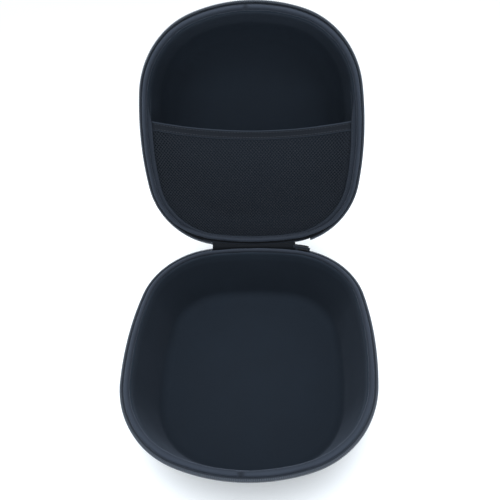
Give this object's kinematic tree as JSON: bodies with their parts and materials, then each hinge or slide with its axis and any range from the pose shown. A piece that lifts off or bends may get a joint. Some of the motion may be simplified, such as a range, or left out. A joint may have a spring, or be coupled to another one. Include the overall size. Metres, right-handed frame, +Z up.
{
  "type": "headphone carrying case",
  "caption": "Rounded zip-up hard case for over-ear headphones, standing open: a padded base, a hinged lid with a mesh pocket, and a zip round the rim.",
  "frame": {"origin": "middle of the flat underside that the base stands on", "axes": "+Z up, -Y towards the front of the case, hinge at the back along X"},
  "size_m": [0.234, 0.3426, 0.3082],
  "materials": {
    "outer_cover": "fine ribbed woven polyester, matt black",
    "foam": "moulded closed-cell foam, black",
    "lining": "brushed tricot lining, blue-black, soft sheen",
    "rim_fabric": "smooth stretched knit over foam, blue-black",
    "zip_tape": "herringbone woven tape, black",
    "zip_coil": "moulded nylon coil, black, slightly glossy",
    "hinge_fabric": "sewn woven strip, matt black",
    "slider_metal": "black enamelled die casting, satin",
    "pocket_net": "open knitted net, black",
    "elastic": "folded elastic binding, black"
  },
  "bodies": {
    "base": {"base_outer_cover": "outer_cover", "base_foam_shell": "foam", "base_lining": "lining", "base_rim_roll": "rim_fabric", "base_zip_tape": "zip_tape", "base_zip_coil": "zip_coil", "base_zip_top_stop": "slider_metal", "zip_joined_end": "zip_coil", "zip_bottom_stop": "slider_metal", "hinge_strip": "hinge_fabric"},
    "lid": {"lid_outer_cover": "outer_cover", "lid_foam_shell": "foam", "lid_lining": "lining", "lid_rim_roll": "rim_fabric", "lid_zip_tape": "zip_tape", "lid_zip_coil": "zip_coil", "lid_zip_top_stop": "slider_metal", "pocket_mesh": "pocket_net", "pocket_hem": "elastic", "pocket_binding": "elastic"},
    "slider": {"slider_body": "slider_metal"},
    "pull": {"slider_pull": "slider_metal"}
  },
  "joints": [
    {"name": "lid_hinge", "type": "hinge", "parent": "base", "child": "lid", "pos_m": [0, 0.1211, 0.072], "axis": [-1, 0, 0], "range_deg": [-104, 76], "deforming": ["hinge_strip"]},
    {"name": "slider_travel", "type": "hinge", "parent": "base", "child": "slider", "pos_m": [0.03721, 0.04067, 0.072], "axis": [0, 0, -1], "range_deg": [0, 62]},
    {"name": "pull_swing", "type": "hinge", "parent": "slider", "child": "pull", "pos_m": [0.05974, 0.11977, 0.0714], "axis": [0, 0, -1], "range_deg": [0, 150]}
  ]
}
